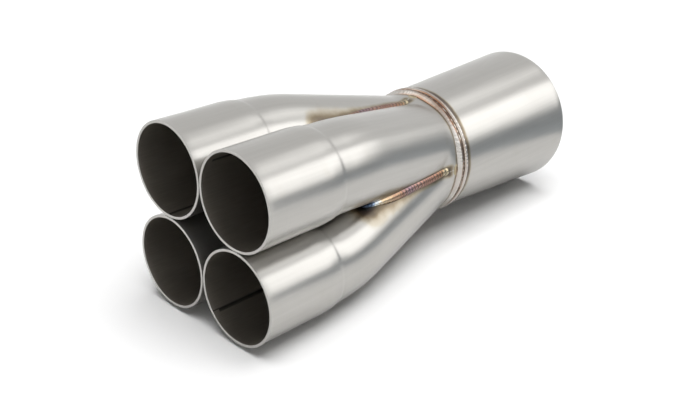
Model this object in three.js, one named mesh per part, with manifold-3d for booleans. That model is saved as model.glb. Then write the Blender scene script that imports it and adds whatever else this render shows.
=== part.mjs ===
// Four-into-one merge collector: the part of a welded tubular exhaust manifold where four
// primary pipes join into one outlet. Millimetres. The flow runs along +Y, +Z is up, and the
// origin is under the middle of the part, at the lowest point of the sockets.
import * as THREE from "three";
import { mergeVertices } from "three/addons/utils/BufferGeometryUtils.js";
import Module from "manifold-3d";

const wasm = await Module();
wasm.setup();

// ---- Driving dimensions -------------------------------------------------------------------

const TUBE_OD = 50.8; // primary pipe size that each socket takes
const TUBE_WALL = 1.65; // 16 gauge
const SLIP = 0.3; // how much wider a socket is bored than the pipe that goes in
const SOCKET_WALL = 1.5; // the wall is thinned a little where the socket was expanded
const SOCKET_DEPTH = 50; // mouth to the start of the swage
const SWAGE_LENGTH = 4.5; // the step down from the socket to the pipe
const BEND_RADIUS = 114.3; // centreline radius of the bend after the swage
const CONE_START = 171; // mouth to the near end of the outlet cone
const CONE_LENGTH = 102.5;
const CONE_INLET_OD = 78.56;
const OUTLET_OD = 88.9;
const LAP = 6; // how far the formed neck slips into the cone
const NECK_FORMING = 17; // length over which the four lobes are formed round
const NECK_ROUND = 5; // length of fully round neck that shows before the cone
const NECK_ROOT = 2.5; // how deep under the valley the neck's curve starts
const SEAM_BEAD_WIDTH = 5.2;
const SEAM_BEAD_CROWN = 3.4; // radius of the domed face of a seam weld
const SEAM_LEAD_IN = 8; // crotch between two pipes to the start of a seam weld
const SEAM_RUN_OUT = 9.6; // end of a seam weld to the cone
const LEAST_OPENNESS = 0.45; // radians, the least half angle that a valley is welded as
const SPIKE_BEAD = 1.6; // radius of the beads on the inner knife edges
const SPIKE_LEAD_IN = 3; // where two bores meet to the start of a spike bead
const SPIKE_SEAT = 0.5; // how far a spike bead's centre stands outside its knife edge
const TIP_RISE = 2; // how far the cap on the spike stands past the point of the four walls
const RING_FRONT = 3.6; // width of the first ring pass, on the formed neck
const RING_REAR = 4.1; // width of the second ring pass, on the cone
const RING_CROWN = 0.65; // height of the ring passes over the cone
const TACK = { length: 3.6, width: 7.4, height: 0.9 };
const TACK_SETBACK = 0.4; // toe of the first ring pass to a tack
const GAP = 0.3; // clearance left between pieces that touch
const OVERRUN = 1; // how far a cutting solid runs past the face that it cuts

// Face of the first ring pass, from the cone forwards: share of its width, drop from its top.
const FRONT_PASS_FACE = [
  [0, RING_CROWN],
  [0.2, 0.1],
  [0.5, 0],
  [0.8, 0.35],
  [1, 1.1],
];
// Face of the second ring pass, from its near toe on: shares of its width and of its crown.
const REAR_PASS_FACE = [
  [0, 0.1],
  [0.2, 0.8],
  [0.5, 1],
  [0.8, 0.8],
  [1, 0.1],
];

// ---- Facet counts -------------------------------------------------------------------------

const TUBE_SIDES = 32;
const BEND_STEPS = 5;
const RING_SIDES = 48;
const NECK_STEPS = 8;
const BEAD_SIDES = 10;
const BEAD_STEPS = 8;
const DOME_STEPS = 3;
const CAP_STEPS = 4;

// ---- Sizes that follow --------------------------------------------------------------------

const tubeR = TUBE_OD / 2;
const boreR = tubeR - TUBE_WALL;
const socketBoreR = (TUBE_OD + SLIP) / 2;
const socketR = socketBoreR + SOCKET_WALL;
const pitch = 2 * socketR + GAP;
const cornerDistance = (pitch / 2) * Math.SQRT2; // collector axis to a socket axis
const bendStart = SOCKET_DEPTH + SWAGE_LENGTH;
const neckR = CONE_INLET_OD / 2 - TUBE_WALL - GAP;
const neckEnd = CONE_START + LAP;
const length = CONE_START + CONE_LENGTH;
const halfHeight = pitch / 2 + socketR;

// The bend angle that brings the outside of each lobe to the neck's radius at the cone.
function bisect(f, low, high) {
  const rising = f(high) > f(low);
  for (let i = 0; i < 60; i++) {
    const middle = (low + high) / 2;
    if (f(middle) > 0 === rising) high = middle;
    else low = middle;
  }
  return (low + high) / 2;
}

function lobeAt(angle, y) {
  const afterBend = y - bendStart - BEND_RADIUS * Math.sin(angle);
  const inwards = BEND_RADIUS * (1 - Math.cos(angle)) + afterBend * Math.tan(angle);
  return cornerDistance - inwards + tubeR / Math.cos(angle);
}

const bendAngle = bisect((a) => lobeAt(a, CONE_START) - neckR, 0.02, 0.7);
const bendLength = BEND_RADIUS * bendAngle;

// ---- Centreline of one runner -------------------------------------------------------------
// It lies in the diagonal plane x = z: straight through the socket, one bend towards the
// collector axis, then straight on. "out" is the distance from the collector axis.

function centreline(s) {
  const turned = THREE.MathUtils.clamp((s - bendStart) / BEND_RADIUS, 0, bendAngle);
  const past = Math.max(s - bendStart - bendLength, 0);
  const y = Math.min(s, bendStart) + BEND_RADIUS * Math.sin(turned) + past * Math.cos(turned);
  const inwards = BEND_RADIUS * (1 - Math.cos(turned)) + past * Math.sin(turned);
  return { y, out: cornerDistance - inwards, turned };
}

// Distance of the point (0, y, z), or (z, y, 0), from the centreline: a part in the bend's
// plane, signed, and a part across it.
function distanceFromCentreline(y, z) {
  const out = z / Math.SQRT2;
  const dy = y - bendStart;
  const dout = out - (cornerDistance - BEND_RADIUS);
  const angle = THREE.MathUtils.clamp(Math.atan2(dy, dout), 0, bendAngle);
  const inPlane = dy * Math.sin(angle) + dout * Math.cos(angle) - BEND_RADIUS;
  return Math.hypot(inPlane, out);
}

// Where the pipe surface of the given radius crosses the plane between two neighbours:
// side +1 is the outer valley, side -1 the inner edge that faces the collector axis.
function edgeHeight(y, radius, side) {
  let middle = cornerDistance / Math.SQRT2;
  for (let i = 0; i < 20; i++) {
    const step = 0.01;
    const slope = distanceFromCentreline(y, middle + step) - distanceFromCentreline(y, middle - step);
    middle -= (slope / (2 * step)) * radius;
  }
  const far = side > 0 ? middle + 2 * radius : 0;
  return bisect((z) => distanceFromCentreline(y, z) - radius, middle, far);
}

// Distance along Y where a pipe surface first reaches the plane between two neighbours.
function crotchAt(radius) {
  const reach = (s) => {
    const { out, turned } = centreline(s);
    const lean = Math.sin(turned) / Math.SQRT2;
    return out / Math.SQRT2 - radius * Math.sqrt(1 - lean * lean);
  };
  const { y, turned } = centreline(bisect(reach, bendStart, CONE_START));
  const lean = Math.sin(turned) / Math.SQRT2;
  return y - (radius * lean * Math.cos(turned)) / Math.sqrt(1 - lean * lean);
}

// Distance along Y where the four pipe surfaces meet on the collector axis.
function tipAt(radius) {
  return bisect((y) => distanceFromCentreline(y, 0) - radius, bendStart, neckEnd);
}

// ---- Solids -------------------------------------------------------------------------------

function solid(geometry) {
  const bare = geometry.clone();
  bare.deleteAttribute("normal");
  bare.deleteAttribute("uv");
  const merged = mergeVertices(bare, 1e-4);
  const vertProperties = new Float32Array(merged.attributes.position.array);
  const triVerts = new Uint32Array(merged.index.array);
  return new wasm.Manifold(new wasm.Mesh({ numProp: 3, vertProperties, triVerts }));
}

function geometryOf(manifold) {
  const mesh = manifold.getMesh();
  const geometry = new THREE.BufferGeometry();
  geometry.setAttribute("position", new THREE.BufferAttribute(mesh.vertProperties, 3));
  geometry.setIndex(new THREE.BufferAttribute(mesh.triVerts, 1));
  const faceted = geometry.toNonIndexed();
  faceted.computeVertexNormals();
  return faceted;
}

// A turned solid about the Y axis, from [radius, y] points that start and end on the axis or
// close on themselves.
function turned(points, sides) {
  return new THREE.LatheGeometry(points.map(([r, y]) => new THREE.Vector2(r, y)), sides);
}

// Carries a straight turned blank along a path, as a pipe bender does: the blank's Y becomes
// the distance along the path, and its cross-sections stay square to it.
function carry(blank, frameAt) {
  const geometry = blank.clone();
  const position = geometry.attributes.position;
  for (let i = 0; i < position.count; i++) {
    const { point, side, up } = frameAt(position.getY(i));
    const x = position.getX(i);
    const z = position.getZ(i);
    const p = point.clone().addScaledVector(side, x).addScaledVector(up, z);
    position.setXYZ(i, p.x, p.y, p.z);
  }
  return geometry;
}

function runnerFrame(s) {
  const { y, out, turned: angle } = centreline(s);
  const diagonal = new THREE.Vector3(Math.SQRT1_2, 0, Math.SQRT1_2);
  const outwards = diagonal.clone().multiplyScalar(Math.cos(angle));
  outwards.y = Math.sin(angle);
  return {
    point: diagonal.clone().multiplyScalar(out).setY(y),
    side: outwards,
    up: new THREE.Vector3(-Math.SQRT1_2, 0, Math.SQRT1_2),
  };
}

// A pipe filled solid: socket, swage, bend and the straight run to past the neck's end.
// grow moves its whole surface out.
function filledRunner(socketRadius, pipeRadius, start, grow) {
  const points = [
    [0, start],
    [socketRadius + grow, start],
    [socketRadius + grow, SOCKET_DEPTH],
    [(socketRadius + pipeRadius) / 2 + grow, SOCKET_DEPTH + SWAGE_LENGTH / 2],
  ];
  for (let i = 0; i <= BEND_STEPS; i++)
    points.push([pipeRadius + grow, bendStart + (bendLength * i) / BEND_STEPS]);
  const end = bendStart + bendLength + (neckEnd + tubeR - bendStart) / Math.cos(bendAngle);
  points.push([pipeRadius + grow, end], [0, end]);
  return solid(carry(turned(points, TUBE_SIDES), runnerFrame));
}

// The round neck, filled solid: it rises out of the valleys between the lobes in a smooth
// curve and runs on to the end. It also keeps the lobes' ends within its own radius.
const formingEnd = CONE_START - NECK_ROUND;
const formingStart = formingEnd - NECK_FORMING;

function neckRadiusAt(y, inset) {
  const t = THREE.MathUtils.smoothstep(y, formingStart, formingEnd);
  const root = edgeHeight(formingStart, tubeR, 1) - NECK_ROOT;
  return THREE.MathUtils.lerp(root, neckR, t) - inset;
}

function filledNeck(inset, end) {
  const points = [[0, formingStart]];
  for (let i = 0; i <= NECK_STEPS; i++) {
    const y = formingStart + (NECK_FORMING * i) / NECK_STEPS;
    points.push([neckRadiusAt(y, inset), y]);
  }
  points.push([neckR - inset, end], [0, end]);
  return solid(turned(points, RING_SIDES));
}

// The space that a runner's end stays in: wide at first, then a steep shoulder down to the
// neck's radius just before the cone, so that no part of a lobe stands outside the lap.
function endEnvelope(inset, end) {
  const wide = 2 * (cornerDistance + socketR);
  const touch = CONE_START - GAP;
  const shoulder = (wide - neckR) / 2;
  const points = [
    [0, -2 * OVERRUN],
    [wide, -2 * OVERRUN],
    [wide, touch - shoulder],
    [neckR - inset, touch],
    [neckR - inset, end],
    [0, end],
  ];
  return solid(turned(points, RING_SIDES));
}

// One runner's outside, or its bore when inset is a wall, filled solid.
function runnerBody(socketRadius, pipeRadius, start, inset, end) {
  return filledRunner(socketRadius, pipeRadius, start, 0)
    .add(filledNeck(inset, end))
    .intersect(endEnvelope(inset, end));
}

function quadrant() {
  const size = 2 * length;
  const box = new THREE.BoxGeometry(size, size, size);
  box.translate(size / 2 + GAP / 2, 0, size / 2 + GAP / 2);
  return solid(box);
}

// The solid in all four quadrants.
function aroundAxis(manifold) {
  let all = manifold;
  for (const turn of [90, 180, 270]) all = all.add(manifold.rotate([0, turn, 0]));
  return all;
}

const outside = runnerBody(socketR, tubeR, 0, 0, neckEnd);
const bore = runnerBody(socketBoreR, boreR, -OVERRUN, TUBE_WALL, neckEnd + OVERRUN);
const runner = outside.subtract(bore).intersect(quadrant());

// The four pipes' outsides and bores with the welding clearance added.
const pipesGrown = aroundAxis(filledRunner(socketR, tubeR, 0, GAP));
const neckGrown = filledNeck(-GAP, neckEnd);
const boresShrunk = aroundAxis(filledRunner(socketBoreR, boreR, -OVERRUN, -GAP));

// ---- Outlet cone --------------------------------------------------------------------------

function coneRadiusAt(y) {
  return THREE.MathUtils.mapLinear(y, CONE_START, length, CONE_INLET_OD / 2, OUTLET_OD / 2);
}

function outletCone() {
  const near = CONE_INLET_OD / 2;
  const far = OUTLET_OD / 2;
  return turned(
    [
      [near, CONE_START],
      [far, length],
      [far - TUBE_WALL, length],
      [near - TUBE_WALL, CONE_START],
      [near, CONE_START],
    ],
    RING_SIDES,
  );
}

// ---- Welds --------------------------------------------------------------------------------

// A bead's straight blank: round in section, with domed ends.
function beadBlank(radius, beadLength) {
  const points = [];
  for (let i = 0; i <= DOME_STEPS; i++) {
    const a = (i / DOME_STEPS) * (Math.PI / 2);
    points.push([radius * Math.sin(a), radius * (1 - Math.cos(a))]);
  }
  for (let i = 1; i < BEAD_STEPS; i++)
    points.push([radius, radius + ((beadLength - 2 * radius) * i) / BEAD_STEPS]);
  for (let i = DOME_STEPS; i >= 0; i--) {
    const a = (i / DOME_STEPS) * (Math.PI / 2);
    points.push([radius * Math.sin(a), beadLength - radius * (1 - Math.cos(a))]);
  }
  points[0][0] = 0;
  points[points.length - 1][0] = 0;
  return turned(points, BEAD_SIDES);
}

// A bead along the plane x = 0, whose centre is at heightAt(y).
function beadAlong(radius, from, to, heightAt) {
  const step = 0.1;
  const frameAt = (distance) => {
    const y = from + distance;
    const climb = heightAt(y + step) - heightAt(y - step);
    const along = new THREE.Vector3(0, 2 * step, climb).normalize();
    const side = new THREE.Vector3(1, 0, 0);
    return {
      point: new THREE.Vector3(0, y, heightAt(y)),
      side,
      up: new THREE.Vector3().crossVectors(side, along),
    };
  };
  return solid(carry(beadBlank(radius, to - from), frameAt));
}

// The fillet in the outer valley between two runners. Its toes are a bead width apart, and
// its domed face passes through them.
function seamCentre(y) {
  const valley = edgeHeight(y, tubeR, 1);
  const half = SEAM_BEAD_WIDTH / 2;
  const centre = centrelineHeight(y);
  const openness = Math.atan2(valley - centre, centre);
  const toeHeight = half / Math.tan(Math.max(openness, LEAST_OPENNESS));
  return valley + toeHeight - Math.sqrt(SEAM_BEAD_CROWN ** 2 - half ** 2);
}

// Height of the runner's centreline at a distance along Y.
function centrelineHeight(y) {
  const s = bisect((t) => centreline(t).y - y, 0, 2 * neckEnd);
  return centreline(s).out / Math.SQRT2;
}

const seamStart = crotchAt(tubeR) + SEAM_LEAD_IN;
const seamEnd = CONE_START - SEAM_RUN_OUT;
const seamWeld = beadAlong(SEAM_BEAD_CROWN, seamStart, seamEnd, seamCentre)
  .subtract(pipesGrown)
  .subtract(neckGrown);

// The bead on the knife edge where two runners' walls meet inside, facing the flow. The four
// beads run on until they would touch each other.
const spikeEdge = (y) => edgeHeight(y, boreR, -1) + SPIKE_SEAT;
const spikeStart = crotchAt(boreR) + SPIKE_LEAD_IN;
const beadsApart = (y) => spikeEdge(y) * Math.SQRT2 - 2 * SPIKE_BEAD - GAP;
const spikeEnd = bisect(beadsApart, spikeStart, tipAt(boreR));
const spikeWeld = beadAlong(SPIKE_BEAD, spikeStart, spikeEnd, spikeEdge).intersect(boresShrunk);

// The cap that closes the point of the spike, from the ends of the four beads on.
function tipCap() {
  const start = spikeEnd + GAP;
  const capLength = tipAt(boreR) + TIP_RISE - start;
  const foot = spikeEdge(spikeEnd) + SPIKE_BEAD / 2;
  const points = [[0, start]];
  for (let i = 0; i < CAP_STEPS; i++) {
    const a = (i / CAP_STEPS) * (Math.PI / 2);
    points.push([foot * Math.cos(a), start + capLength * Math.sin(a)]);
  }
  points.push([0, start + capLength]);
  return solid(turned(points, BEAD_SIDES)).intersect(boresShrunk);
}

// The first ring pass fills the corner between the formed neck and the end of the cone.
function ringFrontPass() {
  const top = CONE_INLET_OD / 2 + RING_CROWN;
  const end = CONE_START - GAP;
  const start = end - RING_FRONT;
  const points = [[neckR, start], [neckR, end]];
  for (const [along, drop] of FRONT_PASS_FACE) points.push([top - drop, end - RING_FRONT * along]);
  points.push([neckR, start]);
  return solid(turned(points.reverse(), RING_SIDES)).subtract(pipesGrown).subtract(neckGrown);
}

// The second ring pass lies on the cone, beside the first.
function ringRearPass() {
  const end = CONE_START + RING_REAR;
  const base = (y) => coneRadiusAt(y) + GAP;
  const points = [];
  for (const [along, rise] of REAR_PASS_FACE) {
    const y = CONE_START + RING_REAR * along;
    points.push([base(y) + RING_CROWN * rise, y]);
  }
  points.push([base(end), end], [base(CONE_START), CONE_START]);
  points.push(points[0]);
  return turned(points, RING_SIDES);
}

// The tack at the foot of each valley, just before the ring.
const tackY = CONE_START - GAP - RING_FRONT - TACK_SETBACK - TACK.length / 2;
const tackBall = new THREE.SphereGeometry(1, BEAD_SIDES, BEAD_SIDES / 2);
tackBall.scale(TACK.width / 2, TACK.length / 2, TACK.height + GAP);
tackBall.translate(0, tackY, neckRadiusAt(tackY, 0));
const tackWeld = solid(tackBall).subtract(neckGrown).subtract(pipesGrown);

// ---- The assembly -------------------------------------------------------------------------

const finishes = {
  brushedTube: { color: "#b4b2ad", roughness: 0.38, metalness: 1 },
  brushedCone: { color: "#b0afab", roughness: 0.34, metalness: 1 },
  seamBead: { color: "#a8765f", roughness: 0.3, metalness: 1 },
  ringBead: { color: "#b59a86", roughness: 0.3, metalness: 1 },
  innerBead: { color: "#7d7468", roughness: 0.45, metalness: 1 },
};

const collector = new THREE.Group();
collector.position.set(0, -length / 2, halfHeight);

function addPiece(name, geometry, finish, quarterTurns = 0) {
  const mesh = new THREE.Mesh(geometry, new THREE.MeshStandardMaterial(finishes[finish]));
  mesh.name = name;
  mesh.rotation.y = (quarterTurns * Math.PI) / 2;
  collector.add(mesh);
}

// Seen from the sockets, quarter turns go clockwise.
["upper_right", "lower_right", "lower_left", "upper_left"].forEach((corner, turn) =>
  addPiece("runner_" + corner, geometryOf(runner), "brushedTube", turn),
);
addPiece("outlet_cone", outletCone(), "brushedCone");
["top", "right", "bottom", "left"].forEach((where, turn) => {
  addPiece("seam_weld_" + where, geometryOf(seamWeld), "seamBead", turn);
  addPiece("spike_weld_" + where, geometryOf(spikeWeld), "innerBead", turn);
  addPiece("tack_weld_" + where, geometryOf(tackWeld), "seamBead", turn);
});
addPiece("spike_tip_weld", geometryOf(tipCap()), "innerBead");
addPiece("ring_weld_front_pass", geometryOf(ringFrontPass()), "ringBead");
addPiece("ring_weld_rear_pass", ringRearPass(), "ringBead");

const part = new THREE.Group();
part.add(collector);
export default part;
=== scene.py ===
"""Builds the looks of a welded stainless four-into-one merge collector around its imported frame.

All lengths are metres. Shapes are worked out in collector axes: x to the right, y along the
flow from the socket mouths, z up, with the origin on the collector's own centre line.
"""

import math

import bmesh
import bpy
import numpy as np
from bpy.props import (
    FloatProperty,
    FloatVectorProperty,
    IntProperty,
    PointerProperty,
    StringProperty,
)
from mathutils import Matrix, Vector


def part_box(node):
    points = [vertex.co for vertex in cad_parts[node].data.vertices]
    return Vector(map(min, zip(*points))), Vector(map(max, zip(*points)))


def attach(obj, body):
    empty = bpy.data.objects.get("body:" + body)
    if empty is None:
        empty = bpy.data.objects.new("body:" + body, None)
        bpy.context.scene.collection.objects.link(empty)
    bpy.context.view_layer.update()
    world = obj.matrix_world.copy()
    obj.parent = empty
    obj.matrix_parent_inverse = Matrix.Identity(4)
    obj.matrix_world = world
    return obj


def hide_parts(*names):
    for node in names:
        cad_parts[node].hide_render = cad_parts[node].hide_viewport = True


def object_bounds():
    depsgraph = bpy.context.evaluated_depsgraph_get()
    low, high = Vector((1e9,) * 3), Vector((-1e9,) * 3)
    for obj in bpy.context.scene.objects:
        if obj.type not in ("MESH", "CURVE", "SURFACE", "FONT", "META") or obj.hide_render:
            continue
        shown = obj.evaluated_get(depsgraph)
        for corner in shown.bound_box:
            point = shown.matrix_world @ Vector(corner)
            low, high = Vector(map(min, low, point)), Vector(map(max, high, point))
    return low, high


bl_info = {
    "name": "Merge Collector",
    "version": (1, 0, 0),
    "blender": (4, 5, 0),
    "location": "View3D > Sidebar > Collector",
    "description": "Builds a welded four-into-one exhaust merge collector on its frame",
    "category": "Object",
}

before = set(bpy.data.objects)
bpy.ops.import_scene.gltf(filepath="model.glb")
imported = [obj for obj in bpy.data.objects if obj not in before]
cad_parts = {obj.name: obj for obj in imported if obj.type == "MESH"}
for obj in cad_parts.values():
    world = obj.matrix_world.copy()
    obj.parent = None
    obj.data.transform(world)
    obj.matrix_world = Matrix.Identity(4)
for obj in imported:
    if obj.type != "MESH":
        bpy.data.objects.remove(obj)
CAD_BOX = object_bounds()

MM = 0.001
CORNERS = ("upper_right", "lower_right", "lower_left", "upper_left")
SIDES = ("top", "right", "bottom", "left")
MOUTH_Y = CAD_BOX[0][1]
AXIS_Z = (CAD_BOX[0][2] + CAD_BOX[1][2]) / 2
CONE_LOW, CONE_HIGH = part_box("outlet_cone")


# ---- Sizes and colours that a user would change ----


def number_property(name, description, default):
    """A plain number setting."""
    return FloatProperty(name=name, description=description, default=default)


def length_property(name, description, default):
    """A length setting in metres."""
    return FloatProperty(
        name=name, description=description, default=default, unit="LENGTH", precision=5
    )


def angle_property(name, description, degrees):
    """An angle setting."""
    return FloatProperty(
        name=name, description=description, default=math.radians(degrees), subtype="ANGLE"
    )


def colour_property(name, description, default):
    """A colour setting, as an sRGB hex value."""
    return StringProperty(name=name, description=description, default=default)


class CollectorSizes(bpy.types.PropertyGroup):
    """Sizes of the sheet-metal pieces."""

    tube: length_property("Tube", "Outside diameter of the runner pipe", 0.0508)
    wall: length_property("Wall", "Wall of the runners and the cone", 0.00165)
    slip: length_property("Slip", "How much wider the socket bore is than the pipe", 0.0003)
    socket_wall: length_property("Socket wall", "Wall of the expanded socket", 0.0015)
    socket_depth: length_property("Socket depth", "Mouth to the start of the swage", 0.050)
    swage: length_property("Swage", "Length of the step from socket to pipe", 0.0045)
    bend_radius: length_property("Bend radius", "Centreline radius of the bend", 0.1143)
    cone_inlet: length_property("Cone inlet", "Radius of the cone's near end", 0.03928)
    lap: length_property("Lap", "How far the neck slips into the cone", 0.006)
    neck_forming: length_property("Neck forming", "Length over which the lobes turn round", 0.017)
    neck_round: length_property("Round neck", "Round length of neck before the cone", 0.005)
    neck_root: length_property("Neck root", "Depth of the neck's start under the valley", 0.0025)
    gap: length_property("Gap", "Clearance between the frame's pieces", 0.0003)
    edge: length_property("Broken edge", "Radius of the broken edges at the cut ends", 0.00025)


class WeldSizes(bpy.types.PropertyGroup):
    """Sizes of the weld beads."""

    seam_width: length_property("Seam width", "Toe to toe width of a seam bead", 0.0052)
    seam_crown: length_property("Seam crown", "Rise of a seam bead over its toes", 0.0011)
    seam_lead_in: length_property("Seam lead-in", "Crotch to the start of a seam bead", 0.0045)
    seam_run_out: length_property("Seam run-out", "End of a seam bead to the cone", 0.0096)
    ripple_pitch: length_property("Ripple pitch", "Distance between two weld ripples", 0.0026)
    ripple_height: length_property("Ripple height", "Height of a weld ripple", 0.00045)
    tack_half_width: length_property("Tack width", "Half width of a tack", 0.0037)
    tack_half_length: length_property("Tack length", "Half length of a tack", 0.0018)
    tack_rise: length_property("Tack rise", "Height of a tack over its middle", 0.0010)
    tack_setback: length_property("Tack setback", "Middle of a tack to the cone", 0.0049)
    ring_front: length_property("Front pass", "Width of the ring pass on the neck", 0.0036)
    ring_rear: length_property("Rear pass", "Width of the ring pass on the cone", 0.0041)
    ring_rise: length_property("Ring rise", "Height of the ring over the cone", 0.0010)
    knife_bead: length_property("Knife bead", "Radius of the bead on an inner edge", 0.0016)


class FinishColours(bpy.types.PropertyGroup):
    """Colours of the finishes, as sRGB hex values."""

    stainless: colour_property("Stainless", "Satin 304 stainless tube", "#B0AEAA")
    bore: colour_property("Bore", "Dull drawn inside of the tube", "#A19B92")
    straw: colour_property("Straw", "Lightest heat tint", "#A59A82")
    copper: colour_property("Copper", "Red-brown heat tint", "#8E6E60")
    violet: colour_property("Violet", "Purple heat tint", "#857078")
    blue: colour_property("Blue", "Dark blue heat tint", "#374354")
    floor: colour_property("Floor", "Matt studio floor", "#F4F4F4")


class StudioSettings(bpy.types.PropertyGroup):
    """The camera and the lights."""

    azimuth: angle_property("Azimuth", "Camera turned round from the front", 43.04)
    elevation: angle_property("Elevation", "Camera above the horizon", 24.89)
    roll: angle_property("Roll", "Camera turned about its own axis", 1.8)
    distance: length_property("Distance", "Camera to its target", 0.5723)
    target: FloatVectorProperty(
        name="Target", description="Point that the camera looks at, in the frame's axes",
        default=(0.00745, -0.0322, 0.0433), subtype="XYZ",
    )
    lens: number_property("Lens", "Focal length in millimetres", 49.9)
    floor_size: length_property("Floor size", "Side of the square floor", 8.0)
    key: number_property("Key", "Radiance of the key softbox", 2.9)
    strip: number_property("Strip", "Radiance of the strip softbox", 2.1)
    fill: number_property("Fill", "Radiance of the two side softboxes", 2.1)
    overhead: number_property("Overhead", "Radiance of the floor's own light", 4.2)
    surround: number_property("Surround", "Radiance of the white surround", 1.07)


# ---- The runner's shape ----


def bisect(function, low, high, steps=50):
    """Halves the bracket low..high, for whole arrays at once, until the function's zero is found.

    At each step the half that keeps the sign change is kept.
    """
    low = np.array(low, float)
    high = np.array(high, float)
    rising = function(high) > function(low)
    for _ in range(steps):
        middle = (low + high) / 2
        above = (function(middle) > 0) == rising
        high = np.where(above, middle, high)
        low = np.where(above, low, middle)
    return (low + high) / 2


def smoothstep(value, low, high):
    """0 below low, 1 above high, and 3 t squared minus 2 t cubed between."""
    t = np.clip((value - low) / (high - low), 0.0, 1.0)
    return t * t * (3 - 2 * t)


def smooth_max(a, b, blend):
    """The larger of a and b, rounded where they cross: a quarter of blend is added there."""
    share = np.clip(0.5 + 0.5 * (a - b) / blend, 0.0, 1.0)
    return b * (1 - share) + a * share + blend * share * (1 - share)


# Length over which the runner's sections turn square to the collector, after the bend.
SQUARING = 50 * MM
# Longest arc length that is searched for a place on the centreline, and the least and greatest
# bend in radians.
ARC_LIMIT = 400 * MM
BEND_LIMITS = (0.02, 0.7)
# How far the swage's step is eased beyond its ends, and the share of the step that is eased. The
# rest is the expanding tool's mark, which starts and ends this far inside the swage.
SWAGE_EASE = 7 * MM
EASED_SHARE = 0.8
MARK_INSETS = (1 * MM, 0.5 * MM)
# How softly the lobes run into the neck, how far before the neck they start to, and how steeply
# the shoulder before the cone may stand out.
NECK_BLEND = 2.4 * MM
NECK_LEAD = 1 * MM
SHOULDER_SLOPE = 2


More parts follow.
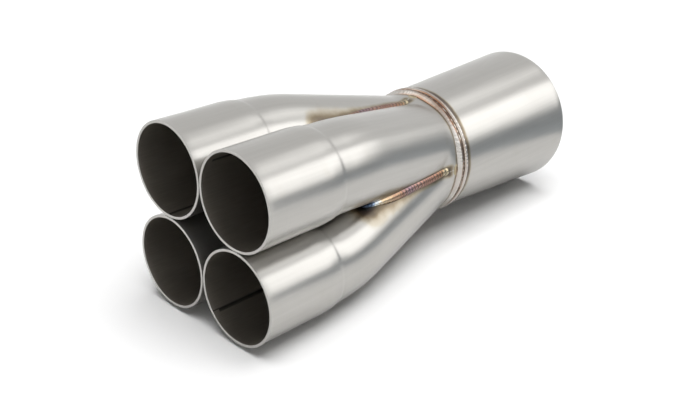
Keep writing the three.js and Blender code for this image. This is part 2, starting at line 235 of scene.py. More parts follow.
class Runner:
    """The upper right runner: a pipe whose centreline lies in the plane x = z.

    It runs straight through the socket, bends once towards the collector axis and runs on
    straight. The bend angle is the one that brings the lobe to the neck's radius at the cone.
    """

    def __init__(self, sizes):
        self.sizes = sizes
        self.pipe = sizes.tube / 2
        self.bore = self.pipe - sizes.wall
        self.socket_bore = (sizes.tube + sizes.slip) / 2
        self.socket = self.socket_bore + sizes.socket_wall
        self.corner = (2 * self.socket + sizes.gap) / math.sqrt(2)
        self.bend_start = sizes.socket_depth + sizes.swage
        self.cone_start = CONE_LOW.y - MOUTH_Y
        self.length = CONE_HIGH.y - MOUTH_Y
        self.outlet = (CONE_HIGH.x - CONE_LOW.x) / 2
        self.cone_slope = (self.outlet - sizes.cone_inlet) / (self.length - self.cone_start)
        self.neck = sizes.cone_inlet - sizes.wall - sizes.gap
        self.neck_end = self.cone_start + sizes.lap
        self.angle = float(bisect(self.lobe_over_neck, *BEND_LIMITS))
        self.bend_length = sizes.bend_radius * self.angle
        self.forming_end = self.cone_start - sizes.neck_round
        self.forming_start = self.forming_end - sizes.neck_forming
        valley = self.valley_height(np.array([self.forming_start]), np.zeros(1), formed=False)
        self.neck_foot = float(valley[0]) - sizes.neck_root

    def cone_radius(self, y):
        """The cone's outside radius, which grows evenly from its near end."""
        return self.sizes.cone_inlet + self.cone_slope * (y - self.cone_start)

    def lobe_over_neck(self, angle):
        """How far the lobe stands over the neck's radius at the cone, for a bend angle."""
        radius = self.sizes.bend_radius
        after = self.cone_start - self.bend_start - radius * np.sin(angle)
        inwards = radius * (1 - np.cos(angle)) + after * np.tan(angle)
        return self.corner - inwards + self.pipe / np.cos(angle) - self.neck

    def centreline(self, s):
        """Place y, distance out from the collector axis, and turn, at arc length s.

        The bend is an arc of the bend radius; before and after it the line is straight.
        """
        radius = self.sizes.bend_radius
        turned = np.clip((s - self.bend_start) / radius, 0.0, self.angle)
        past = np.maximum(s - self.bend_start - self.bend_length, 0.0)
        y = np.minimum(s, self.bend_start) + radius * np.sin(turned) + past * np.cos(turned)
        out = self.corner - radius * (1 - np.cos(turned)) - past * np.sin(turned)
        return y, out, turned

    def squareness(self, s):
        """0 where sections are square to the pipe and 1 where they are square to the collector."""
        start = self.bend_start + self.bend_length
        return smoothstep(s, start, start + SQUARING)

    def points(self, s, phi, radius):
        """Pipe surface at arc length s and angle phi from the outward diagonal.

        Centreline point, plus radius times (cosine phi outwards and sine phi across). The
        section leans over by the squareness, so that the last ones lie in planes of even y.
        """
        lean = self.squareness(s) * radius * np.cos(phi) * np.tan(self.centreline(s)[2])
        y, out, turned = self.centreline(s - lean)
        reach = out + radius * np.cos(phi) * np.cos(turned)
        across = radius * np.sin(phi)
        x = (reach - across) / math.sqrt(2)
        z = (reach + across) / math.sqrt(2)
        return np.stack([x, y + radius * np.cos(phi) * np.sin(turned), z], -1)

    def section_terms(self, s, radius):
        """k and the offset in x = radius (k cosine phi - sine phi + offset) / root 2 at s."""
        _, out, turned = self.centreline(s)
        k = np.cos(turned) + self.squareness(s) * np.tan(turned) * np.sin(turned)
        return k, out / radius

    def cut_angles(self, s, radius):
        """The two angles phi at which the section at s crosses the plane x = 0.

        k cosine phi - sine phi is one cosine of amplitude root (k squared + 1), shifted by
        arctan (1 / k), so its crossings are at plus and minus one arccosine.
        """
        k, offset = self.section_terms(s, radius)
        swing = np.arccos(np.clip(-offset / np.hypot(k, 1.0), -1.0, 1.0))
        shift = np.arctan(1.0 / k)
        return swing - shift, 2 * np.pi - swing - shift

    def arc_where(self, radius, reach):
        """Arc length where the section's offset has come down to its reach, a function of k."""

        def clearance(s):
            k, offset = self.section_terms(s, radius)
            return offset - reach(k)

        return float(bisect(clearance, self.bend_start, self.neck_end))

    def crotch(self, radius):
        """Arc length where the surface first reaches the plane to the neighbour."""
        return self.arc_where(radius, lambda k: np.hypot(k, 1.0))

    def tip(self, radius):
        """Arc length where the surface's innermost line reaches the collector axis."""
        return self.arc_where(radius, lambda k: k)

    def arc_at(self, y):
        """Arc length at which the centreline is at the place y."""
        low = np.zeros_like(y)
        return bisect(lambda s: self.centreline(s)[0] - y, low, low + ARC_LIMIT)

    def distance(self, x, y, z):
        """Distance of a point from the centreline.

        It is the hypotenuse of the point's offset in the bend's plane and its offset across it.
        """
        out = (x + z) / math.sqrt(2)
        across = (z - x) / math.sqrt(2)
        ahead = y - self.bend_start
        beyond = out - (self.corner - self.sizes.bend_radius)
        turned = np.clip(np.arctan2(ahead, beyond), 0.0, self.angle)
        offset = ahead * np.sin(turned) + beyond * np.cos(turned) - self.sizes.bend_radius
        return np.hypot(offset, across)

    def valley_height(self, y, x, formed=True):
        """Height of the runner's outside over the plane z = 0, near the top valley."""
        x = np.abs(x)
        middle = self.centreline(self.arc_at(y))[1] / math.sqrt(2) + 0 * x
        height = bisect(
            lambda z: self.distance(x, y, z) - self.pipe, middle, middle + 2 * self.pipe
        )
        if not formed:
            return height
        radius = np.hypot(x, height)
        return height * self.formed_radius(radius, y, 0.0) / radius

    def inner_edge_height(self, y, radius):
        """Height of the inner edge, where two runners' surfaces meet facing the axis."""
        middle = self.centreline(self.arc_at(y))[1] / math.sqrt(2)
        return bisect(lambda z: self.distance(0 * y, y, z) - radius, middle, 0 * y)

    def spike_place(self):
        """Place along y where the four bores' surfaces meet on the axis."""
        return float(bisect(
            lambda y: self.distance(0 * y, y, 0 * y) - self.bore, self.bend_start, self.neck_end
        ))

    def neck_radius(self, y, inset):
        """The round neck's radius: an S-curve from under the valley up to the full radius."""
        rise = smoothstep(y, self.forming_start, self.forming_end)
        return self.neck_foot + (self.neck - self.neck_foot) * rise - inset

    def formed_radius(self, radius, y, inset):
        """Distance from the collector axis once the lobes are formed round.

        The larger of the lobe and the neck, blended, and never outside the lap before the cone.
        """
        formed = smooth_max(radius, self.neck_radius(y, inset), NECK_BLEND)
        formed = np.where(y > self.forming_start - NECK_LEAD, formed, radius)
        before = np.maximum(self.cone_start - self.sizes.gap - y, 0.0)
        return np.minimum(formed, self.neck - inset + SHOULDER_SLOPE * before)

    def form(self, points, inset):
        """Pushes the pipe's points out to the formed neck, straight away from the axis."""
        x, y, z = np.moveaxis(points, -1, 0)
        radius = np.maximum(np.hypot(x, z), 1e-9)
        late = y > self.forming_start - NECK_LEAD
        scale = np.where(late, self.formed_radius(radius, y, inset) / radius, 1.0)
        return np.stack([x * scale, y, z * scale], -1)

    def radius_at(self, s, pipe, socket):
        """Radius along the pipe: from the socket's to the pipe's in two S-curves.

        Most of the step is eased over and beside the swage; the rest is the mark that the edge
        of the expanding tool left.
        """
        start, end = self.sizes.socket_depth, self.bend_start
        eased = smoothstep(s, start - SWAGE_EASE, end + SWAGE_EASE)
        mark = smoothstep(s, start + MARK_INSETS[0], end - MARK_INSETS[1])
        return socket + (pipe - socket) * (EASED_SHARE * eased + (1 - EASED_SHARE) * mark)

    def seam_span(self, welds):
        """Where a seam bead starts and ends along y."""
        crotch_y = float(self.centreline(self.crotch(self.pipe))[0])
        return crotch_y + welds.seam_lead_in, self.cone_start - welds.seam_run_out

# ---- Meshes ----


def quarter_turn(points, turns):
    """Turns points about the collector axis by quarter turns, from top towards the right."""
    x, y, z = np.moveaxis(points, -1, 0)
    for _ in range(turns % 4):
        x, z = z, -x
    return np.stack([x, y, z], -1)


def to_frame(points):
    """From collector axes to the frame's: the mouths go to the front and the axis is raised."""
    return points + np.array([0.0, MOUTH_Y, AXIS_Z])


class Patch:
    """A grid of points with a material slot, map coordinates and named values."""

    def __init__(self, points, uv, slot=0, flip=False, **values):
        self.points = points
        self.uv = uv
        self.slot = slot
        self.flip = flip
        self.values = values


def grid_faces(rows, columns, first, flip):
    """Corner numbers of the quads of a grid, row after row."""
    i, j = np.meshgrid(np.arange(rows - 1), np.arange(columns - 1), indexing="ij")
    a = first + i * columns + j
    quads = np.stack([a, a + 1, a + columns + 1, a + columns], -1).reshape(-1, 4)
    return quads[:, ::-1] if flip else quads


# Points closer than this are one point.
MERGE_DISTANCE = 0.002 * MM


def build_mesh(name, patches, finishes, turns=0, sharp=30.0):
    """Puts patches into one mesh, merges the points that they share, and shades it smooth.

    Quads whose corners merge at a pole become triangles.
    """
    faces = []
    first = 0
    for patch in patches:
        rows, columns = patch.points.shape[:2]
        faces.append(grid_faces(rows, columns, first, patch.flip))
        first += rows * columns
    slots = [np.full(len(quads), patch.slot) for quads, patch in zip(faces, patches)]
    faces = np.concatenate(faces)
    points = np.concatenate([patch.points.reshape(-1, 3) for patch in patches])
    uvs = np.concatenate([patch.uv.reshape(-1, 2) for patch in patches])

    mesh = bpy.data.meshes.new(name)
    mesh.from_pydata(to_frame(quarter_turn(points, turns)), [], faces)
    mesh.polygons.foreach_set("material_index", np.concatenate(slots).astype(np.int32))
    layer = mesh.uv_layers.new(name="along_and_around")
    layer.data.foreach_set("uv", uvs[faces.ravel()].astype(np.float32).ravel())
    for key in sorted({key for patch in patches for key in patch.values}):
        column = [
            np.broadcast_to(patch.values.get(key, 1.0), patch.points.shape[:2]).ravel()
            for patch in patches
        ]
        attribute = mesh.attributes.new(key, "FLOAT", "POINT")
        attribute.data.foreach_set("value", np.concatenate(column).astype(np.float32))

    work = bmesh.new()
    work.from_mesh(mesh)
    bmesh.ops.remove_doubles(work, verts=work.verts, dist=MERGE_DISTANCE)
    bmesh.ops.recalc_face_normals(work, faces=work.faces)
    work.to_mesh(mesh)
    work.free()
    mesh.shade_smooth()
    mesh.set_sharp_from_angle(angle=math.radians(sharp))
    return add_object(name, mesh, finishes)


def add_object(name, mesh, finishes):
    """Puts a mesh with its finishes into the scene."""
    for material in finishes:
        mesh.materials.append(material)
    mesh.update()
    piece = bpy.data.objects.new(name, mesh)
    bpy.context.scene.collection.objects.link(piece)
    return piece


def settle(piece, node):
    """Makes a piece ride on the one rigid body and stand for its frame node."""
    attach(piece, "root")
    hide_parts(node)


def add_bead(name, node, patch, material, turns=0):
    """Adds one weld deposit. Its ripples are round, so only real edges of it are sharp."""
    settle(build_mesh(name, [patch], [material], turns, 60), node)


def loop_grid(profile_y, profile_r, angles):
    """A ring of revolution about the collector axis: x = r sine angle, z = r cosine angle."""
    y = np.broadcast_to(profile_y[:, None], (len(profile_y), len(angles)))
    r = profile_r if profile_r.ndim == 2 else profile_r[:, None]
    return np.stack([r * np.sin(angles), y, r * np.cos(angles)], -1)


def full_turn(steps):
    """The angles of a full turn in even steps, with both ends."""
    return np.linspace(0, 2 * np.pi, steps + 1)


def uv_grid(along, around):
    """Map coordinates of a grid, from lengths along and around that fill it together."""
    return np.stack(np.broadcast_arrays(along, around), -1)


def rounded_corners(outer, inner, end, edge, steps=5):
    """Profile across a cut pipe end, from outside to inside, with both edges broken.

    Each broken edge is a quarter circle. Returns place along the pipe and radius.
    """
    a = np.linspace(0, np.pi / 2, steps)
    side = 1 if end > 0 else -1
    y = np.concatenate([end - side * edge * (1 - np.sin(a)), end - side * edge * (1 - np.cos(a))])
    r = np.concatenate([outer - edge * (1 - np.cos(a)), inner + edge * (1 - np.sin(a))])
    return y, r


# ---- Materials ----


def colour(value, shade=1.0):
    """The linear colour, with alpha 1, of an sRGB hex value or a linear grey, times a shade."""
    if isinstance(value, str):
        srgb = [int(value[i : i + 2], 16) / 255 for i in (1, 3, 5)]
        channels = [c / 12.92 if c <= 0.04045 else ((c + 0.055) / 1.055) ** 2.4 for c in srgb]
    else:
        channels = [value] * 3
    return tuple(shade * c for c in channels) + (1.0,)


def add_node(tree, kind, links=None, **settings):
    """Adds one shader node.

    settings are its properties, or values of its inputs by name; links are inputs by name or
    number, each fed by an output, or left as it is where that is None.
    """
    node = tree.nodes.new(kind)
    for key, value in settings.items():
        if hasattr(node, key):
            setattr(node, key, value)
        else:
            node.inputs[key.replace("_", " ")].default_value = value
    for key, output in (links or {}).items():
        if output:
            tree.links.new(output, node.inputs[key])
    return node


def ramp(tree, fac, *stops):
    """The colour that a ramp gives at fac. Stops are places, each with a hex value or a grey."""
    node = add_node(tree, "ShaderNodeValToRGB", {"Fac": fac})
    elements = node.color_ramp.elements
    while len(elements) < len(stops):
        elements.new(0.5)
    for element, (place, value) in zip(elements, stops):
        element.position = place
        element.color = value if isinstance(value, tuple) else colour(value)
    return node.outputs["Color"]


def spread(tree, value, low, high, to_low=0.0, to_high=1.0):
    """Spreads low..high evenly to to_low..to_high, and stops at both ends."""
    node = add_node(
        tree, "ShaderNodeMapRange", {"Value": value},
        From_Min=low, From_Max=high, To_Min=to_low, To_Max=to_high,
    )
    return node.outputs["Result"]


def multiply(tree, a, b, factor=None):
    """Colour a times colour b, or where a factor is given, that much of the way there."""
    node = add_node(
        tree, "ShaderNodeMix", {"Factor": factor, "A": a, "B": b},
        data_type="RGBA", blend_type="MULTIPLY", Factor=1.0,
    )
    return node.outputs["Result"]


def bump(tree, height, strength, distance, normal=None):
    """The normal of a surface raised by height, on top of an earlier normal where given."""
    links = {"Height": height, "Normal": normal}
    node = add_node(tree, "ShaderNodeBump", links, Strength=strength, Distance=distance)
    return node.outputs["Normal"]


def clouds(tree, scale, detail=2.0):
    """Soft noise in the object's own axes, at that many clouds to a metre."""
    place = add_node(tree, "ShaderNodeTexCoord").outputs["Object"]
    node = add_node(tree, "ShaderNodeTexNoise", {"Vector": place}, Scale=scale, Detail=detail)
    return node.outputs["Fac"]


def named_value(tree, name):
    """A named value of the mesh."""
    return add_node(tree, "ShaderNodeAttribute", attribute_name=name).outputs["Fac"]


def polish_grain(tree, along, around, detail):
    """Fine scratches of a polishing belt: noise drawn out round the pipe.

    along and around are the scratches' sizes in metres, along the pipe and round it.
    """
    place = add_node(tree, "ShaderNodeUVMap", uv_map="along_and_around").outputs["UV"]
    scale = (1 / along, 1 / around, 1.0)
    stretch = add_node(tree, "ShaderNodeMapping", {"Vector": place}, Scale=scale)
    node = add_node(
        tree, "ShaderNodeTexNoise", {"Vector": stretch.outputs["Vector"]},
        Scale=1.0, Detail=detail, Roughness=0.6,
    )
    return node.outputs["Fac"]


def new_finish(name):
    """An empty node material, and its node tree."""
    material = bpy.data.materials.new(name)
    material.use_nodes = True
    material.node_tree.nodes.clear()
    return material, material.node_tree


def finish(name, make, *arguments):
    """The material of that name, made the first time that it is asked for."""
    return bpy.data.materials.get(name) or make(name, *arguments)


def shade_with(tree, kind, links, **values):
    """Adds the shader that makes the surface, and the output that it goes to."""
    shader = add_node(tree, kind, links, **values)
    add_node(tree, "ShaderNodeOutputMaterial", {"Surface": shader.outputs[0]})


def satin_stainless(name, colours):
    """304 stainless tube, belt-polished round the pipe to a satin finish.

    The eye sees soft bands along the pipe, because the scratches run round it and spread each
    reflection lengthways. Heat of the welds leaves straw and brown next to the beads.
    """
    material, tree = new_finish(name)
    # Belt scratches are about 0.05 mm wide, too fine to show, so they are drawn 1.4 mm wide.
    fine = polish_grain(tree, 1.4 * MM, 22 * MM, 1)
    shade = ramp(tree, fine, (0.25, colour(colours.stainless, 0.985)), (0.75, colours.stainless))
    # Drawing leaves paler and darker streaks along the tube, a few millimetres wide.
    streaks = polish_grain(tree, 90 * MM, 2.5 * MM, 3)
    drawn = multiply(tree, shade, ramp(tree, streaks, (0.3, 0.93), (0.7, 1.0)))
    # Heat next to a weld: brown at its toe, then straw, then clear where it no longer shows.
    heat = add_node(
        tree, "ShaderNodeMath",
        {0: named_value(tree, "heat_distance"), 1: clouds(tree, 60.0, 3.0)}, operation="ADD",
    )
    # The clouds stand round a half, which is taken off again.
    heat = spread(tree, heat.outputs[0], 0.5, 1.5)
    tint = ramp(tree, heat, (0.0, "#78695E"), (0.25, "#B3A284"), (0.55, "#D9CDB0"), (0.9, 1.0))
    surface = multiply(tree, drawn, tint, ramp(tree, heat, (0.2, 0.9), (0.95, 0.0)))
    # The tube is never quite round: waves about 11 mm wide bend the edges of the reflections.
    waves = bump(tree, polish_grain(tree, 34 * MM, 11 * MM, 1), 0.4, 0.2 * MM)
    lengthways = add_node(
        tree, "ShaderNodeTangent", direction_type="UV_MAP", uv_map="along_and_around"
    )
    broad = polish_grain(tree, 20 * MM, 40 * MM, 1)
    shade_with(
        tree, "ShaderNodeBsdfPrincipled",
        {
            "Base Color": surface,
            "Roughness": spread(tree, broad, 0.2, 0.8, 0.28, 0.31),
            "Normal": bump(tree, fine, 0.08, 0.02 * MM, waves),
            "Tangent": lengthways.outputs["Tangent"],
        },
        Metallic=1.0, Anisotropic=0.5,
    )
    return material


def drawn_bore(name, colours):
    """Inside of welded 304 tube, dull as drawn, with its lengthwise mill weld.

    The eye sees a dark grey bore and one darker line along it.
    """
    material, tree = new_finish(name)
    fine = polish_grain(tree, 14 * MM, 0.5 * MM, 3)
    shade = ramp(tree, fine, (0.3, colour(colours.bore, 0.8)), (0.7, colours.bore))
    beside = spread(tree, named_value(tree, "mill_weld"), 0.0, 1.4 * MM)
    line = ramp(tree, beside, (0.35, 0.22), (1.0, 1.0))
    links = {"Base Color": multiply(tree, shade, line), "Normal": bump(tree, line, 0.5, 0.2 * MM)}
    shade_with(tree, "ShaderNodeBsdfPrincipled", links, Metallic=1.0, Roughness=0.42)
    return material


def tinted_bead(name, stops, roughness, painted_hollow_shade=0.35):
    """TIG-welded stainless bead with oxide colours from its heat.

    The eye sees smooth shining ripples that pass through straw, copper, violet and blue, in
    the order that the metal cooled. stops are places from 0 to 1 along the bead and colours;
    the last argument is how much darker the bead is painted where the named value ripple is
    low, at the foot of each ripple: painted shade in the hollows between ripples.
    """
    material, tree = new_finish(name)
    uneven = clouds(tree, 420.0, 3.0)
    drift = spread(tree, uneven, 0.3, 0.7, -0.04, 0.04)
    place = add_node(
        tree, "ShaderNodeMath", {0: named_value(tree, "bead_place"), 1: drift}, operation="ADD"
    )
    # Painted shade: the colour darkens towards the foot of each ripple, and on the ring in its
    # groove and at its toes, where the named value ripple is low.
    crest = ramp(tree, named_value(tree, "ripple"), (0.0, 1 - painted_hollow_shade), (0.7, 1.0))
    surface = multiply(tree, ramp(tree, place.outputs[0], *stops), crest)
    links = {"Base Color": surface, "Normal": bump(tree, uneven, 0.25, 0.1 * MM)}
    shade_with(tree, "ShaderNodeBsdfPrincipled", links, Metallic=1.0, Roughness=roughness)
    return material


def matt_floor(name, colours):
    """Matt white studio paper, with the faint cloudiness of a rolled sheet."""
    material, tree = new_finish(name)
    shade = ramp(
        tree, clouds(tree, 3.0), (0.3, colour(colours.floor, 0.985)), (0.7, colours.floor)
    )
    # Lamps of its own keep the paper white far out, so that no horizon shows behind the part. They
    # start 0.55 m out, and are at full strength from 1.6 m.
    place = add_node(tree, "ShaderNodeTexCoord").outputs["Object"]
    away = add_node(tree, "ShaderNodeVectorMath", {0: place}, operation="LENGTH")
    glow = spread(tree, away.outputs["Value"], 0.55, 1.6, 0.0, 0.95)
    links = {"Base Color": shade, "Emission Strength": glow}
    shade_with(
        tree, "ShaderNodeBsdfPrincipled", links, Roughness=0.9, Emission_Color=colour(1.0)
    )
    return material


# ---- Operators ----


class COLLECTOR_OT_camera(bpy.types.Operator):
    """Adds the camera at its azimuth, elevation, roll and distance from the target"""

    bl_idname = "collector.camera"
    bl_label = "Camera"

    def execute(self, context):
        studio = context.scene.studio_settings
        a, e, r = studio.azimuth, studio.elevation, studio.roll
        back = Vector((math.sin(a) * math.cos(e), -math.cos(a) * math.cos(e), math.sin(e)))
        right = Vector((math.cos(a), math.sin(a), 0.0))
        up = back.cross(right)
        turned_right = right * math.cos(r) + up * math.sin(r)
        turned_up = up * math.cos(r) - right * math.sin(r)
        place = Vector(studio.target) + back * studio.distance
        camera = bpy.data.objects.new("studio_camera", bpy.data.cameras.new("studio_camera"))
        camera.data.lens = studio.lens
        camera.data.clip_start = 0.01
        camera.data.clip_end = 50.0
        axes = Matrix((turned_right, turned_up, back)).transposed()
        camera.matrix_world = Matrix.Translation(place) @ axes.to_4x4()
        context.scene.collection.objects.link(camera)
        context.scene.camera = camera
        return {"FINISHED"}


def sheet_finishes(colours):
    """The outside and the bore of the sheet-metal pieces."""
    return [
        finish("satin_belt_polished_304", satin_stainless, colours),
        finish("drawn_304_bore", drawn_bore, colours),
    ]


# Where each runner's lengthwise mill weld lies, as an angle from its outward diagonal.
MILL_WELDS = (math.radians(99), math.radians(-94), math.radians(155), math.radians(135))


class COLLECTOR_OT_runners(bpy.types.Operator):
    """Adds the four runners: socket, swage, bend, mitred side and formed neck in one pipe"""

    bl_idname = "collector.runners"
    bl_label = "Runners"

    def execute(self, context):
        scene = context.scene
        runner = Runner(scene.collector_sizes)
        finishes = sheet_finishes(scene.finish_colours)
        for turns, (corner, mill_weld) in enumerate(zip(CORNERS, MILL_WELDS)):
            patches = runner_patches(runner, scene.weld_sizes, mill_weld)
            piece = build_mesh("pipe_" + corner, patches, finishes, turns)
            settle(piece, "runner_" + corner)
        return {"FINISHED"}


# How far a seam bead's heat shows beside it, and how much further near the bead's start, where
# the welder dwelt: at its most, the place of that past the start, and its spread.
HEAT_REACH = 3.5 * MM
DWELL_REACH = 7.5 * MM
DWELL_PLACE = 9 * MM
DWELL_SPREAD = 20 * MM
# How far before a seam bead its heat ends, and its toe's distance from the valley's middle.
HEAT_LEAD = 25 * MM
SEAM_TOE = 2.4 * MM
# Cone to the ring's near toe, and the width of the tinted band before that.
RING_TOE = 4.0 * MM
RING_HEAT = 3 * MM
# Where the ring's heat starts to fade on the cone, and where it ends, after the ring's far toe.
CONE_HEAT = (1.2 * MM, 4.6 * MM)


def heat_distance(runner, welds, points):
    """How far a place on the pipe is from a weld's heat: 0 at the bead's toe, 1 where cold.

    Beside a seam bead it is the distance from its toe over the heat's reach, which is a bell
    in y on top of an even width. Past the bead's ends, 0.8 of the distance along y counts too.
    Before the ring it grows evenly from a quarter.
    """
    x, y, z = np.moveaxis(points, -1, 0)
    start, end = runner.seam_span(welds)
    dwell = np.exp(-(((y - start - DWELL_PLACE) / DWELL_SPREAD) ** 2))
    past = np.maximum(np.maximum(start - y, y - end), 0.0)
    beside = np.maximum(np.minimum(np.abs(x), np.abs(z)) - SEAM_TOE, 0.0)
    side = np.hypot(beside, 0.8 * past) / (HEAT_REACH + DWELL_REACH * dwell)
    side = np.where(y > start - HEAT_LEAD, side, 1.0)
    ring = (runner.cone_start - RING_TOE - y) / RING_HEAT
    return np.minimum(np.minimum(side, np.maximum(ring, 0.0) + 0.25), 1.0)


# Steps of a runner's grids: across the outer and the inner part, then along the socket, the
# swage and the bend, and along the outer and the inner part after the crotch.
OUTER_COLUMNS, INNER_COLUMNS = 96, 32
SOCKET_ROWS, SWAGE_ROWS, BEND_ROWS, OUTER_ROWS, INNER_ROWS = 12, 30, 16, 110, 40


def runner_sheet(runner, welds, mill_weld, inside):
    """One side of the pipe's wall, as four grids in arc length s and angle phi.

    Before the crotch two grids go all the way round. After it, the outer grid lies between
    the two cuts that face outwards, and the inner grid between the two that face the axis.
    Steps grow with the square of their number after the crotch, where the cuts open fastest.
    """
    inset = runner.sizes.wall if inside else 0.0
    radius = runner.pipe - inset
    socket = runner.socket_bore if inside else runner.socket
    crotch = runner.crotch(radius)
    touch = float(runner.cut_angles(np.array([crotch]), radius)[0][0])
    end = float(runner.arc_at(np.array([runner.neck_end]))[0])
    swage = (runner.sizes.socket_depth - SWAGE_EASE, runner.bend_start + SWAGE_EASE)
    before = np.concatenate([
        np.linspace(runner.sizes.edge, swage[0], SOCKET_ROWS)[:-1],
        np.linspace(swage[0], swage[1], SWAGE_ROWS)[:-1],
        np.linspace(swage[1], crotch, BEND_ROWS),
    ])
    after = crotch + (end - crotch) * np.linspace(0, 1, OUTER_ROWS) ** 2
    inner = crotch + (runner.tip(radius) - crotch) * np.linspace(0, 1, INNER_ROWS) ** 2
    outer_cut = runner.cut_angles(after, radius)[0]
    inner_cut = runner.cut_angles(inner, radius)[1]
    outer_cut[0] = inner_cut[0] = touch
    inner_cut[-1] = np.pi
    wide = np.linspace(-1, 1, OUTER_COLUMNS + 1)[None, :]
    narrow = np.linspace(-1, 1, INNER_COLUMNS + 1)[None, :]
    grids = [
        (before, touch * wide + 0 * before[:, None]),
        (before, np.pi + (np.pi - touch) * narrow + 0 * before[:, None]),
        (after, outer_cut[:, None] * wide),
        (inner, np.pi + (np.pi - inner_cut)[:, None] * narrow),
    ]
    patches = []
    for s, phi in grids:
        s = np.broadcast_to(s[:, None], phi.shape)
        points = runner.points(s, phi, runner.radius_at(s, radius, socket))
        points = runner.form(points, inset)
        beside = np.abs((phi - mill_weld + np.pi) % (2 * np.pi) - np.pi) * radius
        near = 1.0 if inside else heat_distance(runner, welds, points)
        uv = uv_grid(s, phi * radius)
        patches.append(
            Patch(points, uv, int(inside), inside, heat_distance=near, mill_weld=beside)
        )
    return patches


def edge_lines(sheet):
    """The border lines of a sheet: its mouth, its outlet end, and the cuts beside neighbours."""
    front, front_inner, after, inner = (patch.points for patch in sheet)
    mouth = np.concatenate([front[0], front_inner[0][1:]])
    return mouth, after[-1], after[:, -1], inner[:, 0], after[:, 0], inner[:, -1]


def strip(a, b):
    """One row of faces between two lines with the same number of points."""
    uv = uv_grid(np.linspace(0, 100 * MM, len(a))[None, :], np.array([[0.0], [2 * MM]]))
    return Patch(np.stack([a, b]), uv)


def runner_patches(runner, welds, mill_weld):
    """Both sides of one runner's wall, its rounded mouth and its cut edges."""
    outside = runner_sheet(runner, welds, mill_weld, False)
    inside = runner_sheet(runner, welds, mill_weld, True)
    outer_lines = edge_lines(outside)
    inner_lines = edge_lines(inside)
    y, r = rounded_corners(runner.socket, runner.socket_bore, 0.0, runner.sizes.edge)
    share = ((runner.socket - r) / (runner.socket - runner.socket_bore))[:, None, None]
    rim = outer_lines[0][None] * (1 - share) + inner_lines[0][None] * share
    rim[..., 1] = y[:, None]
    rim[0] = outer_lines[0]
    rim[-1] = inner_lines[0]
    uv = uv_grid(r[:, None], np.linspace(0, 160 * MM, rim.shape[1])[None])
    strips = [strip(a, b) for a, b in zip(outer_lines[1:], inner_lines[1:])]
    return outside + inside + [Patch(rim, uv)] + strips


# Where the cone's lengthwise seam lies, as an angle from the top.
CONE_SEAM = 1.1 * np.pi


class COLLECTOR_OT_cone(bpy.types.Operator):
    """Adds the outlet cone, a rolled tube that widens evenly to the outlet"""

    bl_idname = "collector.cone"
    bl_label = "Outlet cone"

    def execute(self, context):
        scene = context.scene
        sizes = scene.collector_sizes
        runner = Runner(sizes)
        start, end = runner.cone_start, runner.length
        # Rows are a millimetre apart next to the ring, where the tint fades.
        beside_ring = start + 12 * MM
        y = np.concatenate([
            np.linspace(start, beside_ring, 13), np.linspace(beside_ring, end - sizes.edge, 24)[1:]
        ])
        radius = runner.cone_radius(y)
        angles = full_turn(256)
        around = np.broadcast_to(angles[None, :], (len(y), len(angles)))
        beside = np.abs(around - CONE_SEAM) * runner.outlet
        toe = start + scene.weld_sizes.ring_rear
        near = smoothstep(y, toe + CONE_HEAT[0], toe + CONE_HEAT[1])[:, None]
        patches = []
        for inset, inside in ((0.0, False), (sizes.wall, True)):
            points = loop_grid(y, radius - inset, angles)
            uv = uv_grid(y[:, None], around * radius[:, None])
            heat = 1.0 if inside else near
            patches.append(
                Patch(points, uv, int(inside), inside, heat_distance=heat, mill_weld=beside)
            )
        rim_y, rim_r = rounded_corners(runner.outlet, runner.outlet - sizes.wall, end, sizes.edge)
        rim = loop_grid(rim_y, rim_r - runner.cone_slope * (end - rim_y), angles)
        rim[0] = patches[0].points[-1]
        rim[-1] = patches[1].points[-1]
        patches.append(Patch(rim, uv_grid(rim_r[:, None], angles[None, :] * 40 * MM)))
        patches.append(strip(patches[0].points[0], patches[1].points[0]))
        piece = build_mesh("cone_shell", patches, sheet_finishes(scene.finish_colours))
        settle(piece, "outlet_cone")
        return {"FINISHED"}


# Share of a ripple over which it rises; it falls away over the rest.
RIPPLE_RISE = 0.25


def ripples(along, across, pitch):
    """Height from 0 to 1 of a row of overlapping weld puddles.

    Each puddle's front is an arc, so the row's phase is the place along plus a share of the
    square of the place across, and two sines make the welder's steps uneven. One puddle rises
    quickly as a sine and falls away slowly as a cosine.
    """
    drift = 0.3 * np.sin(along / (1.7 * pitch)) + 0.2 * np.sin(along / (0.9 * pitch) + 2.0)
    phase = (along / pitch + drift + 0.42 * across**2) % 1.0
    rising = np.sin(phase / RIPPLE_RISE * np.pi / 2)
    falling = np.cos((phase - RIPPLE_RISE) / (1 - RIPPLE_RISE) * np.pi / 2)
    return np.where(phase < RIPPLE_RISE, rising, falling) ** 1.2


def closed_ends(y, start, end, power):
    """Share of a bead's section along y, which closes at both ends like a blunt ellipse."""
    return np.sqrt(np.clip(1 - np.abs(2 * (y - start) / (end - start) - 1) ** power, 0, 1))


# The welder filled the top valley wide from the start, and the others more and more.
FIRST_WIDTHS = (1.0, 0.62, 0.7, 0.8)
# A seam bead's rows to a ripple, the columns of its face and underside, and its ends' bluntness.
SEAM_ROWS, FACE_COLUMNS, UNDER_COLUMNS, SEAM_BLUNTNESS = 16, 25, 9, 26
# How deep a seam bead's toes and root and a tack sink into the steel, and how far it wanders.
TOE_SINK, ROOT_SINK, TACK_SINK, WANDER = 0.12 * MM, 0.5 * MM, 0.25 * MM, 0.16 * MM


